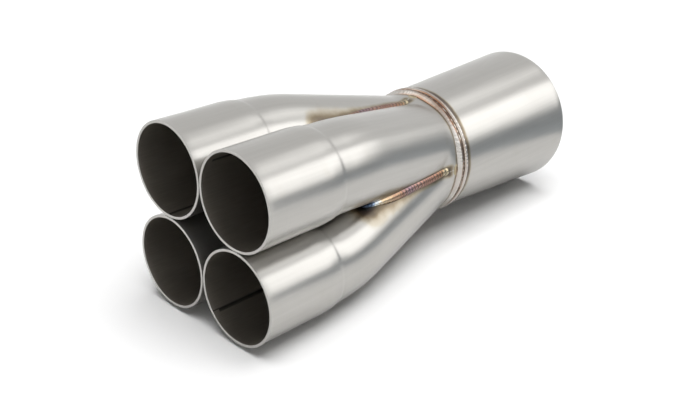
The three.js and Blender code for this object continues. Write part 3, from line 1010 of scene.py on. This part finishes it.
class COLLECTOR_OT_seams(bpy.types.Operator):
    """Adds the four seam beads in the valleys between the runners, and their end tacks"""

    bl_idname = "collector.seams"
    bl_label = "Seam beads"

    def execute(self, context):
        scene = context.scene
        runner = Runner(scene.collector_sizes)
        welds = scene.weld_sizes
        tints = scene.finish_colours
        # The near-white stop at 0.12 is a painted highlight where the bead's start shines; the other
        # stops are oxide colours.
        stops = [
            (0.0, "#20242C"), (0.05, tints.blue), (0.09, "#6F7F93"), (0.12, "#B9BDBB"),
            (0.17, "#AB9A80"), (0.28, "#98816A"), (0.38, "#8A6C5C"), (0.47, tints.violet),
            (0.56, "#94776E"), (0.8, tints.copper), (0.90, "#8E7058"), (0.94, tints.straw),
        ]
        # 0.75: the foot of each ripple is painted down to a quarter of the bead's colour, as painted
        #       shade.
        seam = finish("tinted_tig_seam_bead", tinted_bead, stops, 0.2, 0.75)
        tack_stops = [(0.0, "#84705A"), (0.6, tints.straw)]
        tack = finish("straw_tack_bead", tinted_bead, tack_stops, 0.3, 0.1)
        for turns, (side, first_width) in enumerate(zip(SIDES, FIRST_WIDTHS)):
            patch = seam_patch(runner, welds, first_width)
            add_bead("seam_bead_" + side, "seam_weld_" + side, patch, seam, turns)
            patch = tack_patch(runner, welds)
            add_bead("tack_bead_" + side, "tack_weld_" + side, patch, tack, turns)
        return {"FINISHED"}


def seam_patch(runner, welds, first_width):
    """A bead in the top valley, as a closed loop of points carried along y.

    Its face rises from toe to toe as 1 minus the square of the place across, with ripples;
    its underside follows the two flanks down into the valley. Both ends close to a point.
    """
    start, end = runner.seam_span(welds)
    pitch = welds.ripple_pitch
    y = np.linspace(start, end, int((end - start) / pitch * SEAM_ROWS))
    taper = closed_ends(y, start, end, SEAM_BLUNTNESS)[:, None]
    face = np.linspace(-1, 1, FACE_COLUMNS)
    under = np.linspace(1, -1, UNDER_COLUMNS)[1:]
    # The bead widens over its first 30 mm, and a little more where it ends.
    grow = first_width + (1 - first_width) * smoothstep(y, start, start + 30 * MM)
    grow = grow + 0.16 * smoothstep(y, end - 5 * MM, end - 2 * MM)
    half = welds.seam_width / 2 * grow
    wander = WANDER * (np.sin(y / (5.3 * MM)) + np.sin(y / (8.1 * MM) + 1.0))[:, None]
    toe = (runner.valley_height(y, half) - TOE_SINK)[:, None]
    low = (runner.valley_height(y, 0 * y) - ROOT_SINK)[:, None]
    middle = (toe + TOE_SINK + low) / 2
    y = y[:, None]
    crest = ripples(y - start, face[None, :], pitch)
    # The first stretch ran hot and flowed smooth.
    strength = 0.25 + 0.75 * smoothstep(y, start + 22 * MM, start + 34 * MM)
    rise = (welds.seam_crown + strength * welds.ripple_height * crest) * (1 - face[None, :] ** 2)
    height = np.concatenate([toe + rise, low + (toe - low) * np.abs(under[None, :])], 1)
    height = middle + (height - middle) * taper
    across = np.concatenate([face, under])[None, :] * half[:, None]
    x = (across + wander) * taper
    y = np.broadcast_to(y, x.shape)
    # Painted shade for the bead's colour: low at the foot of each ripple, less so on the smooth
    # first stretch, and 0 on the hidden underside.
    ripple = np.concatenate([crest * strength + (1 - strength), np.zeros((len(y), len(under)))], 1)
    place = (y - start) / (end - start)
    return Patch(
        np.stack([x, y, height], -1), np.stack([y, across], -1), bead_place=place, ripple=ripple
    )


def tack_patch(runner, welds):
    """A low dome on the foot of the valley: height falls as the root of 1 minus radius squared."""
    centre_y = runner.cone_start - welds.tack_setback
    fall = np.linspace(0, np.pi, 25)[:, None]
    turn = full_turn(40)[None, :]
    base = float(runner.neck_radius(np.array(centre_y), 0.0))
    x = welds.tack_half_width * np.sin(fall) * np.cos(turn)
    y = centre_y + welds.tack_half_length * np.sin(fall) * np.sin(turn)
    z = np.sqrt(base**2 - x**2) - TACK_SINK + welds.tack_rise * np.cos(fall)
    place = np.broadcast_to(np.sin(fall) ** 2, x.shape)
    return Patch(np.stack([x, y, z], -1), np.stack([x, y], -1), bead_place=place, ripple=1.0)


class COLLECTOR_OT_ring(bpy.types.Operator):
    """Adds the two passes of the ring weld between the neck and the cone"""

    bl_idname = "collector.ring"
    bl_label = "Ring weld"

    def execute(self, context):
        scene = context.scene
        runner = Runner(scene.collector_sizes)
        stops = [
            (0.0, "#B9B6B1"), (0.3, "#B0A9A2"), (0.55, "#A08D7F"), (0.8, "#936F59"),
            (1.0, "#7C5743"),
        ]
        # 0.6: the groove, the toes and the ripples' feet are painted down to 0.4 of the bead's
        #      colour, as painted shade.
        bead = finish("tinted_tig_ring_bead", tinted_bead, stops, 0.22, 0.6)
        for name, make in (("front", ring_front), ("rear", ring_rear)):
            patch = make(runner, scene.weld_sizes)
            node = "ring_weld_%s_pass" % name
            add_bead("ring_bead_" + name, node, patch, bead)
        return {"FINISHED"}


def ring_heat(angle, height, seed):
    """Tint round the ring and across a pass: a brown bell near 25 degrees from the top.

    The lower a place is on the pass, the browner it is; three slow waves are added round the
    ring.
    """
    from_top = (np.degrees(angle) + 155) % 360 - 180
    bell = np.exp(-((from_top / 24) ** 2))
    wave = np.sin(3 * angle + seed) + 0.7 * np.sin(7 * angle + 2.1 * seed) + 0.5 * np.sin(17 * angle)
    edge = 1 - height[:, None]
    return np.clip(0.12 + (0.3 + 0.5 * edge) * bell + 0.45 * edge + 0.1 * wave, 0.0, 1.0)


def hump(y, start, end):
    """A half ellipse of height 1 over start..end, and 0 outside."""
    u = np.clip((y - start) / (end - start), 0.0, 1.0)
    return np.sqrt(1 - (2 * u - 1) ** 2)


# Share of a pass that stands up; the rest is its side of the groove between the two.
FRONT_SHARE = 0.72
REAR_SHARE = 0.7
# How far a pass sinks into the steel under it, and the number of ripples round it.
RING_SINK = 0.1 * MM
RING_RIPPLES = 96
# Rows across a pass, and steps round it.
RING_ROWS, RING_STEPS = 41, 640
# Rise of the first pass over the slope from its toe to the groove, and that slope's length.
FRONT_RISE, FRONT_SLOPE = 0.95 * MM, 2.6 * MM
# How deep the undersides of the two passes lie.
FRONT_DEPTH, REAR_DEPTH = 0.2 * MM, 0.4 * MM


def ring_front(runner, welds):
    """The pass on the neck: a half ellipse in y, then the floor of the groove behind it."""
    end = runner.cone_start - runner.sizes.gap
    start = end - welds.ring_front
    y = np.linspace(start, end, RING_ROWS)
    foot = runner.neck - runner.sizes.gap
    groove = runner.sizes.cone_inlet - RING_SINK
    rise = hump(y, start, start + FRONT_SHARE * welds.ring_front)
    crown = foot + (groove - foot) * smoothstep(y, start, start + FRONT_SLOPE) + FRONT_RISE * rise
    return ring_patch(runner, welds, y, crown, foot - FRONT_DEPTH + 0 * y, rise, 1.1)


def ring_rear(runner, welds):
    """The pass on the cone: the floor of the groove, then a half ellipse in y."""
    start = runner.cone_start - runner.sizes.gap
    end = start + welds.ring_rear
    y = np.linspace(start, end, RING_ROWS)
    base = runner.cone_radius(y) - RING_SINK * smoothstep(y, start, start + 1.5 * MM)
    rise = hump(y, end - REAR_SHARE * welds.ring_rear, end)
    crown = base + welds.ring_rise * rise
    return ring_patch(runner, welds, y, crown, base - REAR_DEPTH, rise, 2.7)


def ring_patch(runner, welds, y, crown, foot, height, seed):
    """Turns a bead's profile about y, with faint ripples, and closes it underneath.

    Where two sines round the ring are high together, the groove has dark specks. The colour is
    also painted darker in the groove, at the toes and at the foot of each ripple, as painted
    shade.
    """
    angles = full_turn(RING_STEPS)
    around = angles[None, :] * runner.neck
    across = np.linspace(-1, 1, len(y))[:, None]
    crest = ripples(around, across, 2 * np.pi * runner.neck / RING_RIPPLES)
    top = crown[:, None] + 0.3 * welds.ripple_height * crest * height[:, None]
    under = np.broadcast_to(foot[::-1][:, None], top.shape)
    place = np.concatenate([y, y[::-1], y[:1]])
    points = loop_grid(place, np.concatenate([top, under, top[:1]]), angles)
    level = np.concatenate([height, 0 * height, height[:1]])
    heat = ring_heat(angles[None, :], level, seed)
    speck = (np.sin(angles * 23) * np.sin(angles * 9 + seed) > 0.25)[None, :]
    # Painted shade: 0.6 at the foot to 1 at the crest of each ripple, times 0.7 on the groove's
    # floor and the toes, rising to 1 on the crowns; the specks take it down to 0.1.
    shade = (0.6 + 0.4 * crest) * np.clip(0.7 - 0.6 * speck + 1.2 * height[:, None], 0.0, 1.0)
    ripple = np.concatenate([shade, 0 * shade, shade[:1]])
    return Patch(points, uv_grid(place[:, None], around), bead_place=heat, ripple=ripple)

class COLLECTOR_OT_spike(bpy.types.Operator):
    """Adds the beads on the four inner edges and the cap on the point where they meet"""

    bl_idname = "collector.spike"
    bl_label = "Spike beads"

    def execute(self, context):
        scene = context.scene
        runner = Runner(scene.collector_sizes)
        stops = [(0.0, "#7E7466"), (0.5, "#8A6F60"), (1.0, "#6E6A70")]
        bead = finish("dull_tig_inner_bead", tinted_bead, stops, 0.4)
        for turns, side in enumerate(SIDES):
            patch = knife_patch(runner, scene.weld_sizes)
            add_bead("knife_bead_" + side, "spike_weld_" + side, patch, bead, turns)
        add_bead("spike_cap", "spike_tip_weld", cap_patch(runner), bead)
        return {"FINISHED"}


# Where two bores meet to the start of a knife bead, its end to the spike's point, how far its
# centre stands outside the edge, and the pitch of its ripples.
KNIFE_LEAD_IN, KNIFE_RUN_OUT, KNIFE_SEAT, KNIFE_PITCH = 3 * MM, 4.5 * MM, 0.4 * MM, 1.9 * MM
# The spike cap's start before the spike's point, its length, and its radius there.
CAP_SETBACK, CAP_LENGTH, CAP_RADIUS = 5.2 * MM, 7.0 * MM, 3.1 * MM


def knife_patch(runner, welds):
    """A round bead along the inner edge above the axis, with ripples along it."""
    start = float(runner.centreline(runner.crotch(runner.bore))[0]) + KNIFE_LEAD_IN
    end = runner.spike_place() - KNIFE_RUN_OUT
    y = np.linspace(start, end, 140)
    height = runner.inner_edge_height(y, runner.bore) + KNIFE_SEAT
    slope = np.gradient(height, y)
    taper = closed_ends(y, start, end, 14)
    y, height, slope, taper = (line[:, None] for line in (y, height, slope, taper))
    norm = np.hypot(1, slope)
    turn = full_turn(24)[None, :]
    crest = ripples(y - start, np.cos(turn), KNIFE_PITCH)
    radius = welds.knife_bead * taper * (0.92 + 0.08 * crest)
    lift = radius * np.sin(turn)
    points = np.stack(
        [radius * np.cos(turn), y - lift * slope / norm, height + lift / norm], -1
    )
    place = np.broadcast_to((y - start) / (end - start), lift.shape)
    uv = uv_grid(y, turn * welds.knife_bead)
    # ripple paints the foot of each ripple darker in the bead's colour: painted shade.
    return Patch(points, uv, bead_place=place, ripple=crest)


def cap_patch(runner):
    """The cap on the spike: a rounded cone turned about y, wavy like a puddle that froze."""
    t = np.linspace(0, np.pi / 2, 33)
    start = runner.spike_place() - CAP_SETBACK
    y = np.concatenate([[start], start + CAP_LENGTH * np.sin(t)])
    radius = np.concatenate([[0.0], CAP_RADIUS * np.cos(t) ** 0.9])
    radius[-1] = 0.0
    angles = full_turn(64)
    wave = 1 + 0.06 * np.cos(4 * angles)[None, :]
    points = loop_grid(y, radius[:, None] * wave, angles)
    uv = uv_grid(y[:, None], angles[None, :] * CAP_RADIUS)
    place = np.broadcast_to(np.linspace(0, 1, len(y))[:, None], points.shape[:2])
    return Patch(points, uv, bead_place=place, ripple=1.0)


# Corners of the softboxes as (azimuth, elevation) in degrees, seen from the camera's target, after
# the setting that gives their radiance.
SOFTBOXES = {
    "key_softbox": ("key", ((26, 6.5), (26, 46), (77, 28.5), (77, 21))),
    "strip_softbox": ("strip", ((44, 47), (46, 59), (100, 53), (89, 36))),
    "left_softbox": ("fill", ((205, 14), (205, 44), (262, 44), (262, 14))),
    "right_softbox": ("fill", ((-62, 16), (-62, 44), (-8, 44), (-8, 16))),
}
SOFTBOX_DISTANCE = 1.5
# How far the paper lies under the part, so that the two don't cut each other.
PAPER_GAP = 0.15 * MM
# The light over the paper: its side, its height in degrees and its distance.
OVERHEAD_SIZE, OVERHEAD_ELEVATION, OVERHEAD_DISTANCE = 2.4, 81, 2.5
# The dark flag: its azimuths in degrees, and its profile as distances from the target and
# heights over the paper, in metres.
FLAG_AZIMUTHS = np.linspace(20, 104, 43)
FLAG_RADII = np.array([0.27, 0.34, 0.41, 0.46, 0.48])
FLAG_HEIGHTS = np.array([0.001, 0.001, 0.001, 0.012, 0.115])


class COLLECTOR_OT_stage(bpy.types.Operator):
    """Adds the matt floor that the part rests on, the softboxes and the white surround"""

    bl_idname = "collector.stage"
    bl_label = "Stage"

    def execute(self, context):
        scene = context.scene
        studio = scene.studio_settings
        outlet = Runner(scene.collector_sizes).outlet
        # The part rests on the ends of the lower sockets and on the lowest point of the outlet.
        heel_y = MOUTH_Y + scene.collector_sizes.socket_depth
        slope = (AXIS_Z - outlet) / (CONE_HIGH.y - heel_y)
        half = studio.floor_size / 2
        corners = np.array([(-half, -half), (half, -half), (half, half), (-half, half)])
        height = (corners[:, 1] - heel_y) * slope - PAPER_GAP
        paper = finish("matt_white_paper", matt_floor, scene.finish_colours)
        add_prop("studio_floor", np.column_stack([corners, height]), [(0, 1, 2, 3)], paper)
        for name, (setting, corners) in SOFTBOXES.items():
            points = [studio_place(studio, a, e, SOFTBOX_DISTANCE) for a, e in corners]
            cloth = glowing_cloth(name + "_cloth", getattr(studio, setting))
            add_prop(name, points, [(0, 1, 2, 3)], cloth, hidden=True)
        add_overhead(studio)
        add_flag(studio, heel_y, slope)
        scene.world = white_surround(studio)
        scene.view_settings.view_transform = "Standard"
        return {"FINISHED"}


def add_prop(name, points, faces, material, hidden=False):
    """Adds a thing of the studio. A hidden one is there for the steel to reflect."""
    mesh = bpy.data.meshes.new(name)
    mesh.from_pydata(points, [], faces)
    prop = add_object(name, mesh, [material])
    prop.visible_camera = not hidden
    prop.visible_diffuse = not hidden
    return prop


def studio_place(studio, azimuth, elevation, distance):
    """A place at a direction in degrees, seen from the camera's target, and a distance."""
    a, e = math.radians(azimuth), math.radians(elevation)
    direction = Vector((math.cos(a) * math.cos(e), math.sin(a) * math.cos(e), math.sin(e)))
    return Vector(studio.target) + direction * distance


def glowing_cloth(name, radiance):
    """White diffuser cloth lit from behind, even to a few percent."""
    material, tree = new_finish(name)
    shade = ramp(tree, clouds(tree, 2.0), (0.3, 0.96), (0.7, 1.0))
    shade_with(tree, "ShaderNodeEmission", {"Color": shade}, Strength=radiance)
    return material


def add_overhead(studio):
    """A wide softbox over the paper, whose power is 4 times its area times its radiance.

    It lights the paper only and doesn't show in the steel.
    """
    light = bpy.data.lights.new("overhead_softbox", "AREA")
    light.shape = "SQUARE"
    light.size = OVERHEAD_SIZE
    light.energy = 4 * light.size**2 * studio.overhead
    lamp = bpy.data.objects.new("overhead_softbox", light)
    lamp.location = studio_place(studio, 0, OVERHEAD_ELEVATION, OVERHEAD_DISTANCE)
    facing = lamp.location - Vector(studio.target)
    lamp.rotation_euler = facing.to_track_quat("Z", "Y").to_euler()
    lamp.visible_camera = False
    lamp.visible_glossy = False
    bpy.context.scene.collection.objects.link(lamp)


def add_flag(studio, heel_y, slope):
    """A dark cloth on the paper, right of and behind the part, turned up at its far edge.

    It is a profile of radius and height turned about the target; its foot follows the paper.
    """
    a, r = np.meshgrid(np.radians(FLAG_AZIMUTHS), FLAG_RADII, indexing="ij")
    x = r * np.cos(a) + studio.target[0]
    y = r * np.sin(a) + studio.target[1]
    z = (y - heel_y) * slope + FLAG_HEIGHTS[None, :]
    faces = grid_faces(*a.shape, 0, True)
    felt = finish("dark_felt_flag", dark_felt)
    flag = add_prop("dark_flag", np.stack([x, y, z], -1).reshape(-1, 3), faces, felt, hidden=True)
    flag.data.shade_smooth()
    flag.visible_shadow = False


def dark_felt(name):
    """Dark grey felt, cloudy from its pressed fibres. It gives the steel its dark horizon."""
    material, tree = new_finish(name)
    shade = ramp(tree, clouds(tree, 9.0), (0.3, "#A0A7AD"), (0.7, "#A9AFB4"))
    shade_with(tree, "ShaderNodeBsdfPrincipled", {"Base Color": shade}, Roughness=0.95)
    return material


def white_surround(studio):
    """A white studio surround, a little darker half way up than at the horizon and overhead."""
    world = bpy.data.worlds.new("white_surround")
    world.use_nodes = True
    tree = world.node_tree
    tree.nodes.clear()
    place = add_node(tree, "ShaderNodeTexCoord").outputs["Generated"]
    axes = add_node(tree, "ShaderNodeSeparateXYZ", {0: place})
    shade = ramp(tree, axes.outputs["Z"], (0.0, 0.98), (0.5, 0.92), (1.0, 1.0))
    # Matt things get less of it, so that the part's contact shadow stays deep and close.
    path = add_node(tree, "ShaderNodeLightPath").outputs["Is Diffuse Ray"]
    strength = spread(tree, path, 0.0, 1.0, studio.surround, 0.1 * studio.surround)
    surround = add_node(tree, "ShaderNodeBackground", {"Color": shade, "Strength": strength})
    add_node(tree, "ShaderNodeOutputWorld", {"Surface": surround.outputs["Background"]})
    return world


class COLLECTOR_PT_panel(bpy.types.Panel):
    """Lists the collector's pieces and settings"""

    bl_idname = "COLLECTOR_PT_panel"
    bl_label = "Merge Collector"
    bl_space_type = "VIEW_3D"
    bl_region_type = "UI"
    bl_category = "Collector"

    def draw(self, context):
        for operator in OPERATORS:
            self.layout.operator(operator.bl_idname)
        for name, group in GROUPS.items():
            box = self.layout.box()
            for key in group.__annotations__:
                box.prop(getattr(context.scene, name), key)


OPERATORS = (
    COLLECTOR_OT_camera,
    COLLECTOR_OT_runners,
    COLLECTOR_OT_cone,
    COLLECTOR_OT_seams,
    COLLECTOR_OT_ring,
    COLLECTOR_OT_spike,
    COLLECTOR_OT_stage,
)
GROUPS = {
    "collector_sizes": CollectorSizes,
    "weld_sizes": WeldSizes,
    "finish_colours": FinishColours,
    "studio_settings": StudioSettings,
}


def register():
    """Adds the settings, the operators and the panel to Blender."""
    for name, group in GROUPS.items():
        bpy.utils.register_class(group)
        setattr(bpy.types.Scene, name, PointerProperty(type=group))
    for cls in OPERATORS + (COLLECTOR_PT_panel,):
        bpy.utils.register_class(cls)


def unregister():
    """Takes them away again."""
    for cls in reversed(OPERATORS + (COLLECTOR_PT_panel,)):
        bpy.utils.unregister_class(cls)
    for name, group in GROUPS.items():
        delattr(bpy.types.Scene, name)
        bpy.utils.unregister_class(group)


def main():
    register()
    for operator in OPERATORS:
        group, name = operator.bl_idname.split(".")
        getattr(getattr(bpy.ops, group), name)()


if __name__ == "__main__":
    main()
